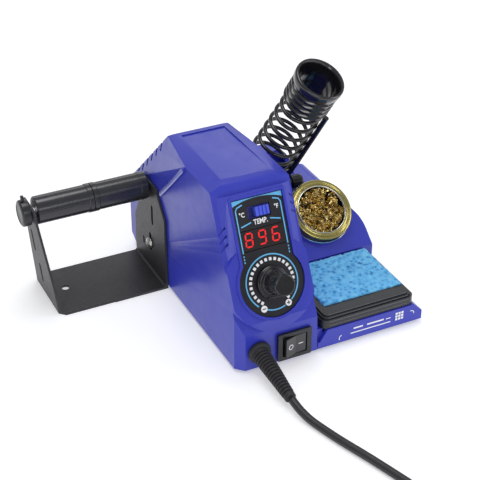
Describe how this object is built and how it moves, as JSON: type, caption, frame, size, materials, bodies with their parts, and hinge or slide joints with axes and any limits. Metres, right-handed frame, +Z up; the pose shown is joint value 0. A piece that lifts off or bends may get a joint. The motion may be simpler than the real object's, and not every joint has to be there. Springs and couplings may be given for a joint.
{
  "type": "soldering iron station",
  "caption": "Soldering station with sloped control housing, sponge tray, brass-wool tin, coil-spring iron holder, solder-reel bracket and corded iron.",
  "frame": {"origin": "centre of the base plate's underside, 2 mm over the surface that the feet stand on", "axes": "+Z up, +X to the right of someone facing the control face, -Y towards them"},
  "size_m": [0.222, 0.4147, 0.143],
  "materials": {
    "blue_plastic": "satin, fine grain",
    "fascia_black": "satin film",
    "display_red": "gloss",
    "slider_blue": "satin",
    "slider_well": "matt",
    "knob_black": "satin",
    "steel": "plain",
    "board_green": "solder mask",
    "black_plastic": "satin",
    "gloss_black": "gloss",
    "dark_plate": "matt",
    "foot_rubber": "matt",
    "laminated_steel": "varnished laminations",
    "winding_tape": "polyester tape",
    "sponge_blue": "open-cell cellulose",
    "tin_dark": "semi-gloss",
    "tin_gold": "lacquered",
    "wool_brass": "curled shavings",
    "black_wire": "gloss black lacquer",
    "black_metal": "textured black powder coat",
    "screw_bright": "bright zinc",
    "cord_black": "smooth jacket",
    "grip_blue": "soft grip",
    "heater_ceramic": "plain",
    "tip_steel": "plated tip"
  },
  "bodies": {
    "station": {"main_housing": "blue_plastic", "control_fascia": "fascia_black", "display_module": "display_red", "unit_switch_body": "slider_well", "potentiometer_body": "steel", "control_board": "board_green", "power_switch_body": "black_plastic", "base_plate": "dark_plate", "foot_front_left": "foot_rubber", "foot_front_right": "foot_rubber", "foot_rear_left": "foot_rubber", "foot_rear_right": "foot_rubber", "base_screw_front_left": "steel", "base_screw_rear_left": "steel", "base_screw_front_right": "steel", "base_screw_rear_right": "steel", "transformer_core": "laminated_steel", "transformer_winding": "winding_tape", "transformer_strap": "steel", "mains_inlet": "black_plastic", "side_deck": "blue_plastic", "tin_block": "blue_plastic", "holder_hood": "blue_plastic", "holder_pivot_pin": "steel", "reel_bracket": "black_metal", "reel_axle": "steel", "reel_axle_cap": "black_plastic", "reel_axle_clip": "black_plastic", "reel_bracket_screw": "screw_bright", "cord_strain_relief": "cord_black", "iron_cord_run": "cord_black", "iron_cord_coil": "cord_black", "iron_cord_tail": "cord_black", "iron_boot": "cord_black", "iron_handle": "black_plastic", "iron_grip": "grip_blue", "iron_nut": "steel", "iron_barrel": "steel", "iron_heater": "heater_ceramic", "iron_tip": "tip_steel"},
    "temperature_dial": {"temperature_knob": "knob_black", "potentiometer_shaft": "steel"},
    "unit_switch_slider": {"unit_slider": "slider_blue"},
    "rocker": {"power_rocker": "gloss_black"},
    "roller_inner": {"reel_roller_inner": "black_plastic"},
    "roller_outer": {"reel_roller_outer": "black_plastic"},
    "tray": {"sponge_tray": "gloss_black"},
    "sponge_pad": {"sponge": "sponge_blue"},
    "tin": {"tin_cup": "tin_dark", "brass_wool": "wool_brass"},
    "lid": {"tin_lid": "tin_gold"},
    "holder": {"holder_arm": "black_wire", "holder_spring": "black_wire", "holder_collar": "gloss_black"},
    "clamp": {"holder_clamp_knob": "knob_black"}
  },
  "joints": [
    {"name": "temperature_turn", "type": "hinge", "parent": "station", "child": "temperature_dial", "pos_m": [-0.03585, -0.06851, 0.04865], "axis": [0, -0.9063, 0.4226], "range_deg": [-150, 150]},
    {"name": "unit_slide", "type": "slide", "parent": "station", "child": "unit_switch_slider", "axis": [1, 0, 0], "range_m": [-0.0034, 0]},
    {"name": "power_rock", "type": "hinge", "parent": "station", "child": "rocker", "pos_m": [-0.026, -0.081, 0.0102], "axis": [0, 0, 1], "range_deg": [-22, 0]},
    {"name": "roller_inner_spin", "type": "hinge", "parent": "station", "child": "roller_inner", "pos_m": [-0.082, 0.046, 0.0595], "axis": [1, 0, 0], "continuous": true},
    {"name": "roller_outer_spin", "type": "hinge", "parent": "station", "child": "roller_outer", "pos_m": [-0.117, 0.046, 0.0595], "axis": [1, 0, 0], "continuous": true},
    {"name": "tray_seat", "type": "slide", "parent": "station", "child": "tray", "axis": [0, 0, -1], "range_m": [-0.03, 0]},
    {"name": "sponge_seat", "type": "slide", "parent": "tray", "child": "sponge_pad", "axis": [0, 0, -1], "range_m": [-0.025, 0]},
    {"name": "tin_pull", "type": "slide", "parent": "station", "child": "tin", "axis": [0, -0.6428, 0.766], "range_m": [0, 0.03]},
    {"name": "lid_pull", "type": "slide", "parent": "tin", "child": "lid", "axis": [0, -0.6428, 0.766], "range_m": [0, 0.012]},
    {"name": "holder_tilt", "type": "hinge", "parent": "station", "child": "holder", "pos_m": [0.021, 0.0325, 0.0444], "axis": [1, 0, 0], "range_deg": [-12, 12]},
    {"name": "clamp_turn", "type": "hinge", "parent": "station", "child": "clamp", "pos_m": [0.033, 0.0325, 0.0444], "axis": [1, 0, 0], "range_deg": [-180, 180]}
  ]
}
